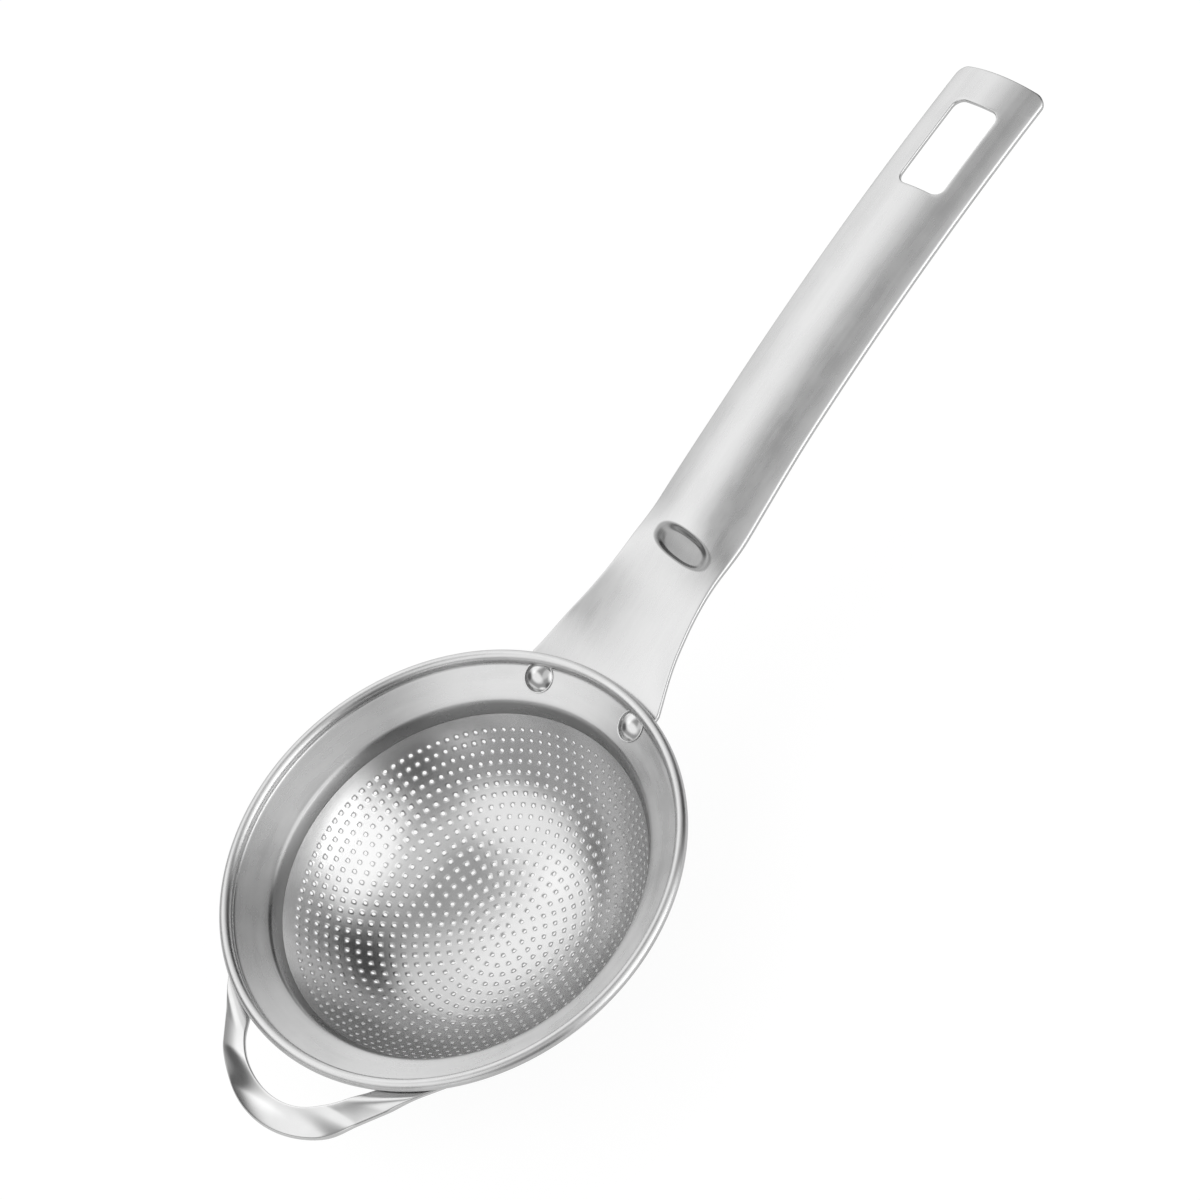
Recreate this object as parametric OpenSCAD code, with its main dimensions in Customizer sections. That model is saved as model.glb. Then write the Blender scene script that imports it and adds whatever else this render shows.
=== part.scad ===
// Tea strainer: a perforated bowl under a conical collar with a rolled bead,
// a long bowed handle on two rivets, and a helper loop on the other side.
// +X runs along the handle, +Z is up, the origin is the centre of the rim.

/* [Collar ring] */
// Outer diameter over the rolled bead
rim_d = 90; // [84:1:94]
// Diameter of the rolled bead
bead_d = 2.3; // [2:0.1:2.8]
// Thickness of the collar sheet
collar_t = 0.5; // [0.4:0.05:0.6]
// Slope of the collar face, in degrees below level
face_slope = 26; // [20:1:30]
// Width of the collar face, measured along its slope
face_w = 7.1; // [6.6:0.1:8]
// Slope of the skirt under the collar face, in degrees below level
skirt_slope = 62; // [56:1:62]
// Length of the skirt, measured along its slope
skirt_len = 3; // [2.4:0.1:3.4]
// Radius of the bend between the collar face and the skirt
lip_r = 1.6; // [1:0.1:2.4]

/* [Perforated bowl] */
// Depth of the inside of the bowl below the middle of the bead
bowl_depth = 27; // [26.6:0.2:32]
// Thickness of the perforated sheet
bowl_t = 0.4; // [0.3:0.05:0.6]
// Radius of the bowl's side wall, seen in profile
wall_r = 44; // [38:1:46]
// Slope where the side wall turns into the knuckle, in degrees
wall_end = 48; // [44:1:50]
// Radius of the knuckle between the side wall and the bottom
knuckle_r = 28; // [24:1:30]
// Slope where the knuckle turns into the bottom, in degrees
knuckle_end = 18.6; // [15:0.2:22]
// How far the sheet laps up behind the skirt
lap = 2.2; // [1.4:0.1:2.2]
// Diameter of one straining hole
hole_d = 0.8; // [0.6:0.05:1.1]
// Distance from one ring of holes to the next, along the sheet
hole_pitch = 2.1; // [1.9:0.05:3]
// Plain margin between the skirt and the outermost ring of holes
hole_margin = 3.3; // [2.6:0.1:6]
// Angle of the first hole in each ring, from the handle
hole_turn = 9.9; // [0:0.1:60]

/* [Handle] */
// Length of the handle from the outside of the rim to its tip
handle_len = 135.4; // [110:1:155]
// Width of the handle at its grip
grip_w = 20.6; // [18:0.2:22]
// Width of the handle where the thumb crimp crosses it
waist_w = 21.5; // [21:0.1:23]
// Width of the handle where it leaves the rim
neck_w = 31.2; // [28:0.2:33]
// Distance from the outside of the rim to where the neck has narrowed to the waist
neck_len = 25; // [19:1:31]
// Thickness of the handle sheet
handle_t = 1; // [0.8:0.1:1.2]
// Slope of the handle where it leaves the rim, in degrees
handle_rise = 14.2; // [10:0.2:18]
// Radius of the handle's long bow, seen from the side
bow_r = 526; // [400:10:900]
// Radius of the handle's arched section
arch_r = 25; // [18:1:40]
// Radius of the corners at the handle's tip
tip_r = 2.2; // [1:0.2:4]
// Width of the tab riveted under the collar
tab_w = 31; // [29:0.5:34]
// Distance from the outside of the rim in to the inner end of the tab
tab_lap = 7.2; // [6.6:0.1:7.4]

/* [Thumb crimp] */
// Distance from the outside of the rim to the crimp
crimp_at = 27.5; // [27:0.5:45]
// Depth of the crimp below the crown of the handle
crimp_depth = 1.05; // [0.6:0.05:1.3]
// Length of the crimp along the handle
crimp_w = 4.8; // [4:0.1:6]

/* [Hanging slot] */
// Length of the slot
slot_len = 20.2; // [12:0.2:24]
// Width of the slot
slot_w = 10.1; // [6:0.1:12]
// Radius of the slot's corners
slot_r = 2; // [0.6:0.1:2.8]
// Metal left between the slot and the tip
slot_edge = 7.6; // [5:0.1:14]

/* [Rivets] */
// Distance from the outside of the rim in to each rivet
rivet_inset = 3.9; // [3.7:0.1:4.1]
// Angle between each rivet and the handle's centre line
rivet_turn = 16.2; // [14:0.2:17]
// Diameter of the domed head
rivet_head_d = 6; // [5:0.1:6.2]
// Height of the domed head
rivet_head_h = 1.25; // [0.8:0.05:1.6]
// Diameter of the shank
rivet_d = 2.6; // [2:0.1:3]
// Diameter of the closed tail under the tab
rivet_tail_d = 4.4; // [4:0.1:5]
// Height of the closed tail
rivet_tail_h = 0.9; // [0.6:0.1:1.2]

/* [Helper loop] */
// How far the loop stands out from the outside of the rim
loop_out = 12.2; // [10:0.2:17]
// Width of the loop's strip
loop_w = 5; // [4:0.1:5.4]
// Thickness of the loop's strip
loop_t = 0.9; // [0.7:0.1:1.1]
// Radius of the loop's round end, at the outside of the strip
loop_r = 21.2; // [19:0.2:23]
// Angle through which each side of the round end turns before its leg
loop_turn = 54; // [50:1:58]
// Length of each leg, up to its end under the collar
loop_leg = 17; // [15:0.5:18]
// Fall of the strip from its inner edge to its outer edge
loop_fall = 1.5; // [0.6:0.1:2]
// Extra fall of the round end below the legs
loop_droop = 1.6; // [0:0.1:2.4]
// Height of the crown across the strip
loop_crown = 0.3; // [0:0.05:0.5]

/* [Fits] */
// Gap left between sheets that lie on each other
sheet_gap = 0.05; // [0.02:0.01:0.1]
// Gap round a rivet's shank in its holes
rivet_gap = 0.05; // [0.02:0.01:0.1]

/* [Hidden] */
// Fineness of large rounds, of small rounds and of arcs in profiles
round_fn = 180;
small_fn = 48;
steps = 8;
// A step just inside an end, and how far a cut runs past a face
tiny = 0.001;
past = 1;

// Smooth step from 0 to 1 as x runs from a to b
function ease(a, b, x) = let (u = max(0, min(1, (x - a) / (b - a)))) u * u * (3 - 2 * u);
function mix(a, b, u) = a + (b - a) * u;
// Directions in the profile plane, where x is the radius and y the height
function along(slope) = [-cos(slope), -sin(slope)];
function outward(slope) = [sin(slope), -cos(slope)];
function arc_points(centre, r, a, b) =
    [for (i = [0:steps]) centre + r * [cos(mix(a, b, i / steps)), sin(mix(a, b, i / steps))]];

// Collar profile: the face leaves the bead low on its inner side, and its root is inside the
// curl's wall by a share of the bead's radius
rim_r = rim_d / 2;
bead_r = bead_d / 2;
bead_x = rim_r - bead_r;
bead_leave = 230;
root_share = 0.43;
face_top = [bead_x, 0] + bead_r * [cos(bead_leave), sin(bead_leave)];
face_root = face_top - along(face_slope) * bead_r * root_share;
// The slit left in the bead's curl, as angles round it
curl_open = [285, 305];
lip_corner = face_top + along(face_slope) * face_w;
lip_cut = lip_r * tan((skirt_slope - face_slope) / 2);
lip_start = lip_corner - along(face_slope) * lip_cut;
lip_centre = lip_start + outward(face_slope) * lip_r;
skirt_end = lip_corner + along(skirt_slope) * skirt_len;

// Height of the face's underside, less the gap to a sheet lying against it
function under_face(r) =
    face_top.y + (r - face_top.x) * tan(face_slope) - (collar_t + sheet_gap) / cos(face_slope);

// Bowl profile, from its mouth behind the skirt down to its centre
mouth = skirt_end + outward(skirt_slope) * (collar_t + sheet_gap);
wall_dr = wall_r * (sin(skirt_slope) - sin(wall_end));
wall_dz = wall_r * (cos(wall_end) - cos(skirt_slope));
knuckle_dr = knuckle_r * (sin(wall_end) - sin(knuckle_end));
knuckle_dz = knuckle_r * (cos(knuckle_end) - cos(wall_end));
dish = tan(knuckle_end / 2);
plain_len = (bowl_depth + mouth.y - wall_dz - knuckle_dz - (mouth.x - wall_dr - knuckle_dr) * dish)
    / (sin(skirt_slope) - cos(skirt_slope) * dish);
bottom_edge = mouth.x - plain_len * cos(skirt_slope) - wall_dr - knuckle_dr;
bottom_r = bottom_edge / sin(knuckle_end);
arc_len = PI / 180;
s_bottom = bottom_r * knuckle_end * arc_len;
s_knuckle = s_bottom + knuckle_r * (wall_end - knuckle_end) * arc_len;
s_wall = s_knuckle + wall_r * (skirt_slope - wall_end) * arc_len;
s_mouth = s_wall + plain_len;
// Slope, radius and height of the bowl's inside at a distance s from its centre, along the sheet
function bowl_slope(s) =
    s < s_bottom ? s / bottom_r / arc_len
    : s < s_knuckle ? knuckle_end + (s - s_bottom) / knuckle_r / arc_len
    : s < s_wall ? wall_end + (s - s_knuckle) / wall_r / arc_len
    : skirt_slope;
function bowl_at(s) = let (a = bowl_slope(s))
    s < s_bottom ? [bottom_r * sin(a), -bowl_depth + bottom_r * (1 - cos(a))]
    : s < s_knuckle ? bowl_at(s_bottom - tiny)
        + knuckle_r * [sin(a) - sin(knuckle_end), cos(knuckle_end) - cos(a)]
    : s < s_wall ? bowl_at(s_knuckle - tiny)
        + wall_r * [sin(a) - sin(wall_end), cos(wall_end) - cos(a)]
    : mouth - (s - s_mouth) * along(skirt_slope);
rings = floor((s_mouth - hole_margin) / hole_pitch);
// Each ring of holes lies in a cone band of its own, except the innermost, which share a flat
flat_rings = 2;
margin_bands = 3;
ring_edges = [for (k = [flat_rings:rings]) (k + 0.5) * hole_pitch];
margin_edges = [for (i = [1:margin_bands])
    mix(ring_edges[len(ring_edges) - 1], s_mouth + lap, i / margin_bands)];

// Handle: a point for the distance q from the rim's centre and the share f of the half width
tab_in = rim_r - tab_lap;
neck_end = rim_r + neck_len;
crimp_x = rim_r + crimp_at;
handle_reach = rim_r + handle_len;
tab_hold = face_top.x;
function bow_z(q) = let (d = q - tab_hold)
    under_face(tab_hold) + d * tan(handle_rise) - d * d / (2 * bow_r);
function crown_z(q) = q < tab_hold ? under_face(q) : bow_z(q);
// The section goes from flat at the rim to fully arched, the stations from arcs to straight lines
arch_run = 31;
arc_run = 17;
function arched(q) = ease(rim_r, rim_r + arch_run, q);
// The neck narrows steeply at first, then the grip tapers a little past the crimp
neck_gap = 1;
neck_start = rim_r + neck_gap;
neck_power = 1.6;
tab_blend = 2;
taper_gap = 3.5;
taper_from = crimp_x + taper_gap;
taper_run = 28;
function body_half(q) = mix(waist_w, grip_w, ease(taper_from, taper_from + taper_run, q)) / 2
    + (neck_w - waist_w) / 2 * pow(max(0, neck_end - q) / (neck_end - neck_start), neck_power);
function tab_half(q) = min(tab_w, neck_w) / 2;
function corner_cut(d, r) = d >= r ? 0 : r - sqrt(r * r - (r - d) * (r - d));
function handle_half(q) =
    mix(tab_half(q), body_half(max(q, neck_start)), ease(neck_start - tab_blend, neck_start, q))
    - corner_cut(q - tab_in, tip_r) - corner_cut(handle_reach - q, tip_r);
function handle_x(q, t) = let (bend = 1 - ease(rim_r, rim_r + arc_run, q))
    q - bend * (q - sqrt(q * q - t * t));
function arch_drop(q, t) = arched(q) * (arch_r - sqrt(arch_r * arch_r - t * t));
// The crimp has a nearly flat floor and steep walls
crimp_half = crimp_w / 2;
crimp_power = 4;
function crimp_z(q, crown) = let (d = abs(q - crimp_x) / crimp_half)
    d >= 1 ? crown + crimp_depth : crown - crimp_depth * (1 - pow(d, crimp_power));
function handle_top(q, t) = min(crown_z(q) - arch_drop(q, t), crimp_z(q, crown_z(q)));
function handle_lean(q, t) = let (
        rise = q < tab_hold ? tan(face_slope) : tan(handle_rise) - (q - tab_hold) / bow_r,
        side = arched(q) * t / sqrt(arch_r * arch_r - t * t))
    sqrt(1 + rise * rise + side * side);
function handle_point(q, f, under) = let (t = f * handle_half(q))
    [handle_x(q, t), t, handle_top(q, t) - under * handle_t * handle_lean(q, t)];
// Stations along the handle: close together at the corners and in the crimp
handle_q = concat(
    [for (i = [0:4]) tab_in + tip_r * (1 - cos(i * 90 / 4))],
    [for (i = [1:3]) mix(tab_in + tip_r, tab_hold, i / 3)],
    [for (i = [1:12]) mix(tab_hold, crimp_x - crimp_half - 1, i / 12)],
    [for (i = [0:16]) crimp_x + mix(-1, 1, i / 16) * crimp_half],
    [for (i = [1:24]) mix(crimp_x + crimp_half, handle_reach - tip_r, i / 24)],
    [for (i = [1:5]) handle_reach - tip_r + tip_r * sin(i * 90 / 5)]);
handle_f = [for (i = [-8:8]) i / 8];
slot_x = handle_reach - slot_edge - slot_len / 2;

// Rivets
rivet_at = rim_r - rivet_inset;
rivet_z = face_top.y + (rivet_at - face_top.x) * tan(face_slope);
stack = collar_t + handle_t + 2 * sheet_gap;
head_r = (rivet_head_d * rivet_head_d / 4 + rivet_head_h * rivet_head_h) / (2 * rivet_head_h);

// Helper loop: s runs along the strip from the middle of its round end
loop_reach = rim_r + loop_out;
loop_mid = loop_r - loop_w / 2;
loop_x = loop_reach - loop_r;
loop_bend = loop_mid * loop_turn * arc_len;
loop_end = loop_bend + loop_leg;
function loop_side(s) = s < 0 ? -1 : 1;
function loop_angle(s) = min(abs(s), loop_bend) / loop_mid / arc_len;
function loop_plan(s, f) = let (a = loop_angle(s), leg = max(0, abs(s) - loop_bend),
        r = loop_mid + f * loop_w / 2)
    [loop_x + r * cos(a) - leg * sin(a), loop_side(s) * (r * sin(a) + leg * cos(a))];
// The round end droops past a crease, and the legs rise to the collar just outside the bead
droop_start = 8.7;
droop_run = 5.5;
lift_from = 0.2;
lift_to = 3.3;
function loop_free(p, f) = -loop_fall * (f + 1) / 2 + loop_crown * (1 - f * f)
    - loop_droop * ease(loop_reach - droop_start, loop_reach - droop_start + droop_run, p.x);
function loop_held(r) = r < tab_hold ? under_face(r) : bow_z(r);
function loop_top(p, f) = let (r = norm(p))
    mix(loop_held(r), loop_free(p, f), ease(rim_r + lift_from, rim_r + lift_to, r));
// A leaning sheet is a little thicker upright than square to itself
loop_lean = 0.06;
function loop_point(s, f, under) = let (p = loop_plan(s, f))
    [-p.x, -p.y, loop_top(p, f) - under * (loop_t + loop_lean)];
loop_s = [for (i = [-36:36]) i / 36 * loop_end];
loop_f = [for (i = [-4:4]) i / 4];

// A closed sheet from rows of top points and the matching rows of bottom points
module sheet(top, bottom) {
    rows = len(top);
    cols = len(top[0]);
    last = rows * cols;
    points = concat([for (row = top) for (p = row) p], [for (row = bottom) for (p = row) p]);
    faces = concat(
        [for (i = [0:rows - 2]) for (j = [0:cols - 2]) let (a = i * cols + j)
            each [[a, a + 1, a + cols + 1], [a, a + cols + 1, a + cols]]],
        [for (i = [0:rows - 2]) for (j = [0:cols - 2]) let (a = last + i * cols + j)
            each [[a, a + cols + 1, a + 1], [a, a + cols, a + cols + 1]]],
        [for (i = [0:rows - 2]) let (a = i * cols)
            each [[a, a + cols, last + a + cols], [a, last + a + cols, last + a]]],
        [for (i = [0:rows - 2]) let (a = i * cols + cols - 1)
            each [[a, last + a + cols, a + cols], [a, last + a, last + a + cols]]],
        [for (j = [0:cols - 2])
            each [[j, last + j + 1, j + 1], [j, last + j, last + j + 1]]],
        [for (j = [0:cols - 2]) let (a = (rows - 1) * cols + j)
            each [[a, a + 1, last + a + 1], [a, last + a + 1, last + a]]]);
    polyhedron(points, faces);
}

module at_rivet(side) {
    rotate([0, 0, side * rivet_turn])
        translate([rivet_at, 0, rivet_z])
            rotate([0, -face_slope, 0])
                children();
}

module bead_curl() {
    translate([bead_x, 0])
        difference() {
            circle(r = bead_r, $fn = small_fn);
            circle(r = bead_r - collar_t, $fn = small_fn);
            polygon([[0, 0], for (a = curl_open) bead_d * [cos(a), sin(a)]]);
        }
}

module collar_sheet() {
    top = concat([face_root], arc_points(lip_centre, lip_r, 90 + face_slope, 90 + skirt_slope), [skirt_end]);
    inner_r = lip_r - collar_t;
    under = concat([face_root + outward(face_slope) * collar_t],
        arc_points(lip_centre, inner_r, 90 + face_slope, 90 + skirt_slope),
        [skirt_end + outward(skirt_slope) * collar_t]);
    polygon(concat(top, [for (i = [len(under) - 1:-1:0]) under[i]]));
}

module collar_ring() {
    color("silver")
        difference() {
            rotate_extrude($fn = round_fn) {
                bead_curl();
                collar_sheet();
            }
            for (side = [-1, 1])
                at_rivet(side)
                    cylinder(d = rivet_d + 2 * rivet_gap, h = 4 * collar_t, center = true, $fn = small_fn);
        }
}

module bowl_sheet() {
    edges = concat(ring_edges, margin_edges);
    flat = [[0, -bowl_depth], [bowl_at(edges[0]).x, -bowl_depth]];
    bands = [for (i = [1:len(edges) - 1]) edges[i]];
    inside = concat(flat, [for (s = bands) bowl_at(s)]);
    outside = concat([for (p = flat) p - [0, bowl_t]],
        [for (s = bands) bowl_at(s) + bowl_t * outward(bowl_slope(s))]);
    polygon(concat(inside, [for (i = [len(outside) - 1:-1:0]) outside[i]]));
}

module straining_hole(ring, turn) {
    at = bowl_at(ring * hole_pitch);
    rotate([0, 0, turn])
        translate([at.x, 0, at.y])
            rotate([0, -bowl_slope(ring * hole_pitch), 0])
                cylinder(d = hole_d, h = 4 * bowl_t, center = true, $fn = 16);
}

module perforated_bowl() {
    color("lightgray")
        difference() {
            rotate_extrude($fn = round_fn)
                bowl_sheet();
            straining_hole(0, 0);
            for (ring = [1:rings])
                for (i = [0:6 * ring - 1])
                    straining_hole(ring, hole_turn + i * 60 / ring);
        }
}

module hanging_slot() {
    for (inset = [[0, slot_r], [slot_r, 0]])
        square([slot_len - 2 * inset.x, slot_w - 2 * inset.y], center = true);
    for (x = [-1, 1], y = [-1, 1])
        translate([x * (slot_len / 2 - slot_r), y * (slot_w / 2 - slot_r)])
            circle(r = slot_r, $fn = small_fn);
}

module handle() {
    color("gainsboro")
        difference() {
            sheet([for (q = handle_q) [for (f = handle_f) handle_point(q, f, 0)]],
                [for (q = handle_q) [for (f = handle_f) handle_point(q, f, 1)]]);
            translate([slot_x, 0, bow_z(slot_x) - arch_r / 2])
                linear_extrude(arch_r)
                    hanging_slot();
            for (side = [-1, 1])
                at_rivet(side)
                    cylinder(d = rivet_d + 2 * rivet_gap, h = 4 * stack, center = true, $fn = small_fn);
        }
}

module rivet(side) {
    color("whitesmoke")
        at_rivet(side) {
            translate([0, 0, sheet_gap])
                intersection() {
                    translate([0, 0, rivet_head_h - head_r])
                        sphere(r = head_r, $fn = 2 * small_fn);
                    cylinder(d = rivet_head_d, h = rivet_head_h + past, $fn = small_fn);
                }
            translate([0, 0, -stack - sheet_gap])
                cylinder(d = rivet_d, h = stack + 2 * sheet_gap + tiny, $fn = small_fn);
            translate([0, 0, -stack - sheet_gap - rivet_tail_h])
                cylinder(d = rivet_tail_d, h = rivet_tail_h, $fn = small_fn);
        }
}

module rivet_left() {
    rivet(1);
}

module rivet_right() {
    rivet(-1);
}

module helper_loop() {
    color("gainsboro")
        sheet([for (s = loop_s) [for (f = loop_f) loop_point(s, f, 0)]],
            [for (s = loop_s) [for (f = loop_f) loop_point(s, f, 1)]]);
}

collar_ring();
perforated_bowl();
handle();
rivet_left();
rivet_right();
helper_loop();
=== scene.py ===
import math

import bpy
import bmesh
import numpy as np
from mathutils import Matrix, Vector


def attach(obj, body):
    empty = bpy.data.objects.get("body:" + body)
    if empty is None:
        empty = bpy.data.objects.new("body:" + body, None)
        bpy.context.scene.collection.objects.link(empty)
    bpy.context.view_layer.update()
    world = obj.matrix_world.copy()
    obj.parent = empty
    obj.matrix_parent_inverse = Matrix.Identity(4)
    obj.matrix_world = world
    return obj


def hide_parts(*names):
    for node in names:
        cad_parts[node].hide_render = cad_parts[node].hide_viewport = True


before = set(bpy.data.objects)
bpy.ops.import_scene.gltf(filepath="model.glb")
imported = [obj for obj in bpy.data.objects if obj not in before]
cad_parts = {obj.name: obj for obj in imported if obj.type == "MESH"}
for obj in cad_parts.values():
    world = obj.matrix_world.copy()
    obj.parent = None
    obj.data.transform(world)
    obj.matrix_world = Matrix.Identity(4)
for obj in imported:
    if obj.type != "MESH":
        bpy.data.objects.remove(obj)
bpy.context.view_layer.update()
mm = 0.001  # the values below are in millimetres and degrees


def ease(a, b, x):  # smooth step from 0 at a to 1 at b
    u = np.clip((x - a) / (b - a), 0, 1)
    return u * u * (3 - 2 * u)


def mix(a, b, u):
    return a + (b - a) * u


def arc(centre, radius, start, end, count):
    turn = np.radians(np.linspace(start, end, count))
    return np.array(centre) + radius * np.stack([np.cos(turn), np.sin(turn)], -1)


def sind(a):
    return np.sin(np.radians(a))


def cosd(a):
    return np.cos(np.radians(a))


def tand(a):
    return np.tan(np.radians(a))


# One visible piece, in place of its node of the part
def makePiece(name, points, faces, node, slot, material):
    mesh = bpy.data.meshes.new(name)
    mesh.from_pydata((np.asarray(points) * mm).tolist(), [], faces)
    work = bmesh.new()
    work.from_mesh(mesh)
    bmesh.ops.remove_doubles(work, verts=work.verts, dist=2e-7)
    work.to_mesh(mesh)
    work.free()
    mesh.shade_smooth()
    mesh.materials.append(material)
    piece = bpy.data.objects.new(name, mesh)
    bpy.context.scene.collection.objects.link(piece)
    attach(piece, "root")
    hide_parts(node)


# Turns a closed profile of (radius, height) about the axis
def revolve(profile, steps):
    turn = np.radians(np.arange(steps) * 360 / steps)
    r, z = profile[:, 0], profile[:, 1]
    points = np.stack([
        np.outer(np.cos(turn), r), np.outer(np.sin(turn), r), np.tile(z, (steps, 1))], -1)
    n = len(profile)
    faces = []
    for i in range(steps):
        a, b = i * n, (i + 1) % steps * n
        for j in range(n):
            k = (j + 1) % n
            faces.append((a + j, b + j, b + k, a + k))
    return points.reshape(-1, 3), faces


def gridFaces(rows, cols):
    return [(i * cols + j, (i + 1) * cols + j, (i + 1) * cols + j + 1, i * cols + j + 1)
            for i in range(rows - 1) for j in range(cols - 1)]


# Distances from a border at which a rounded edge has its rows
def rimSteps(edge):
    return edge * (1 - sind(np.arange(90, 0, -15)))


# Gives a surface its thickness: gap is each point's distance to the border, where the edges are rounded
def closeSheet(surface, depth, gap, edge, faces):
    inset = edge - np.clip(gap, 0, edge)
    drop = edge - np.sqrt(edge * edge - inset * inset)
    down = np.array([0, 0, -1])
    top, bottom = surface + drop[:, None] * down, surface + (depth - drop)[:, None] * down
    n = len(surface)
    border = set()
    for face in faces:
        for a, b in zip(face, (*face[1:], face[0])):
            if (b, a) in border:
                border.remove((b, a))
            else:
                border.add((a, b))
    under = [tuple(v + n for v in face[::-1]) for face in faces]
    walls = [(b, a, a + n, b + n) for a, b in sorted(border)]
    return np.concatenate([top, bottom]), [*faces, *under, *walls]


# Shared surface effects: each group puts out masks that the materials use with their own values


def newGroup(name, sockets):
    group = bpy.data.node_groups.new(name, "ShaderNodeTree")
    for label, kind, way in sockets:
        group.interface.new_socket(label, in_out=way, socket_type=kind)
    return group, group.nodes.new("NodeGroupInput"), group.nodes.new("NodeGroupOutput")


def addNode(tree, kind, settings=None, inputs=None):
    node = tree.nodes.new(kind)
    for key, value in (settings or {}).items():
        setattr(node, key, value)
    for key, value in (inputs or {}).items():
        if isinstance(value, bpy.types.NodeSocket):
            tree.links.new(value, node.inputs[key])
        else:
            node.inputs[key].default_value = value
    return node


def addMath(tree, operation, *values):
    return addNode(tree, "ShaderNodeMath", {"operation": operation}, dict(enumerate(values))).outputs[0]


def softStep(tree, value, start, end, height=1.0):
    return addNode(tree, "ShaderNodeMapRange", {"interpolation_type": "SMOOTHSTEP"}, {
        "Value": value, 1: start, 2: end, 4: height}).outputs[0]


def noise(tree, vector, scale, detail, roughness):
    return addNode(tree, "ShaderNodeTexNoise", {}, {
        "Vector": vector, "Scale": scale, "Detail": detail, "Roughness": roughness}).outputs["Fac"]


def facingUp(tree):
    normal = addNode(tree, "ShaderNodeTexCoord").outputs["Normal"]
    height = addNode(tree, "ShaderNodeSeparateXYZ", {}, {0: normal}).outputs[2]
    return addMath(tree, "GREATER_THAN", height, 0.0)


def grey(level):
    return (level, level, level, 1)


effects = {
    "streakScale": 0.22, "cloudScale": 0.05,  # as shares of the fine pattern's scale
    "ringStretch": 0.002, "gripStretch": 0.02,  # scale along the brushed lines, against 1 across them
    "bump": 0.01, "cloudRange": (0.36, 0.64),
}


def brushGroup():
    group, start, end = newGroup("brushing", [
        ("Vector", "NodeSocketVector", "INPUT"), ("Scale", "NodeSocketFloat", "INPUT"),
        ("Lines", "NodeSocketFloat", "OUTPUT"), ("Streaks", "NodeSocketFloat", "OUTPUT")])
    vector, scale = start.outputs["Vector"], start.outputs["Scale"]
    wide = addMath(group, "MULTIPLY", scale, effects["streakScale"])
    group.links.new(noise(group, vector, scale, 3.0, 0.7), end.inputs["Lines"])
    group.links.new(noise(group, vector, wide, 2.0, 0.5), end.inputs["Streaks"])
    return group


def grainGroup():
    group, start, end = newGroup("grain", [
        ("Vector", "NodeSocketVector", "INPUT"), ("Scale", "NodeSocketFloat", "INPUT"),
        ("Grain", "NodeSocketFloat", "OUTPUT"), ("Cloud", "NodeSocketFloat", "OUTPUT")])
    vector, scale = start.outputs["Vector"], start.outputs["Scale"]
    wide = addMath(group, "MULTIPLY", scale, effects["cloudScale"])
    group.links.new(noise(group, vector, scale, 2.0, 0.6), end.inputs["Grain"])
    group.links.new(noise(group, vector, wide, 3.0, 0.5), end.inputs["Cloud"])
    return group


brushing, grain = brushGroup(), grainGroup()


# Each brush gives where its lines are read and the direction that spreads the highlight
def aroundAxis(tree, place):
    split = addNode(tree, "ShaderNodeSeparateXYZ", {}, {0: place}).outputs
    x, y, z = split[0], split[1], split[2]
    r = addMath(tree, "SQRT", addMath(
        tree, "ADD", addMath(tree, "MULTIPLY", x, x), addMath(tree, "MULTIPLY", y, y)))
    stretch = effects["ringStretch"]
    short = [addMath(tree, "MULTIPLY", addMath(tree, "DIVIDE", c, r), stretch) for c in (x, y)]
    lines = addNode(tree, "ShaderNodeCombineXYZ", {}, {
        0: short[0], 1: short[1], 2: addMath(tree, "SUBTRACT", r, z)})
    spread = addNode(tree, "ShaderNodeCombineXYZ", {}, {0: x, 1: y, 2: 0.0})
    return lines.outputs[0], spread.outputs[0]


def alongHandle(tree, place):
    stretch = addNode(tree, "ShaderNodeVectorMath", {"operation": "MULTIPLY"}, {
        0: place, 1: (effects["gripStretch"], 1, 1)})
    spread = addNode(tree, "ShaderNodeCombineXYZ", {}, {0: 0.0, 1: 1.0, 2: 0.0})
    return stretch.outputs[0], spread.outputs[0]


crimp = {
    "at": 72.5, "side": -0.5, "skew": 0.14, "half": 2.8, "wide": 6.8, "power": 2.5,
    "depth": 0.75, "step": 0.25, "wall": 0.68, "dish": 0.25, "margin": 2,
}
# Where the painted shade fades in and out: the crimp's floor and crease by their reach, the skirt by height
shades = {"pocket": (0.96, 1.1), "crease": (0.68, 0.9), "skirt": (-3.4, -4.8)}


# Masks that paint shade into the crimp: its upward floor darker, and the crease round its wall darker still
def crimpPaintedShade(tree, place):
    split = addNode(tree, "ShaderNodeSeparateXYZ", {}, {0: place}).outputs
    power = crimp["power"]
    ahead = addMath(tree, "SUBTRACT", split[0], addMath(tree, "MULTIPLY", split[1], crimp["skew"]))
    ways = ((ahead, crimp["at"], crimp["half"]), (split[1], crimp["side"], crimp["wide"]))
    terms = []
    for value, middle, half in ways:
        share = addMath(tree, "DIVIDE", addMath(tree, "SUBTRACT", value, middle * mm), half * mm)
        terms.append(addMath(tree, "POWER", addMath(tree, "ABSOLUTE", share), power))
    reach = addMath(tree, "POWER", addMath(tree, "ADD", *terms), 1 / power)
    pocket = addMath(tree, "SUBTRACT", 1.0, softStep(tree, reach, *shades["pocket"]))
    inside = addMath(tree, "MULTIPLY", facingUp(tree), pocket)
    return inside, addMath(tree, "MULTIPLY", inside, softStep(tree, reach, *shades["crease"]))


# A mask that paints shade on the skirt's upward side, darker as it goes down to the bowl
def skirtShade(tree, place):
    height = addNode(tree, "ShaderNodeSeparateXYZ", {}, {0: place}).outputs[2]
    low = softStep(tree, height, *(z * mm for z in shades["skirt"]))
    return (addMath(tree, "MULTIPLY", low, facingUp(tree)),)


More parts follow.
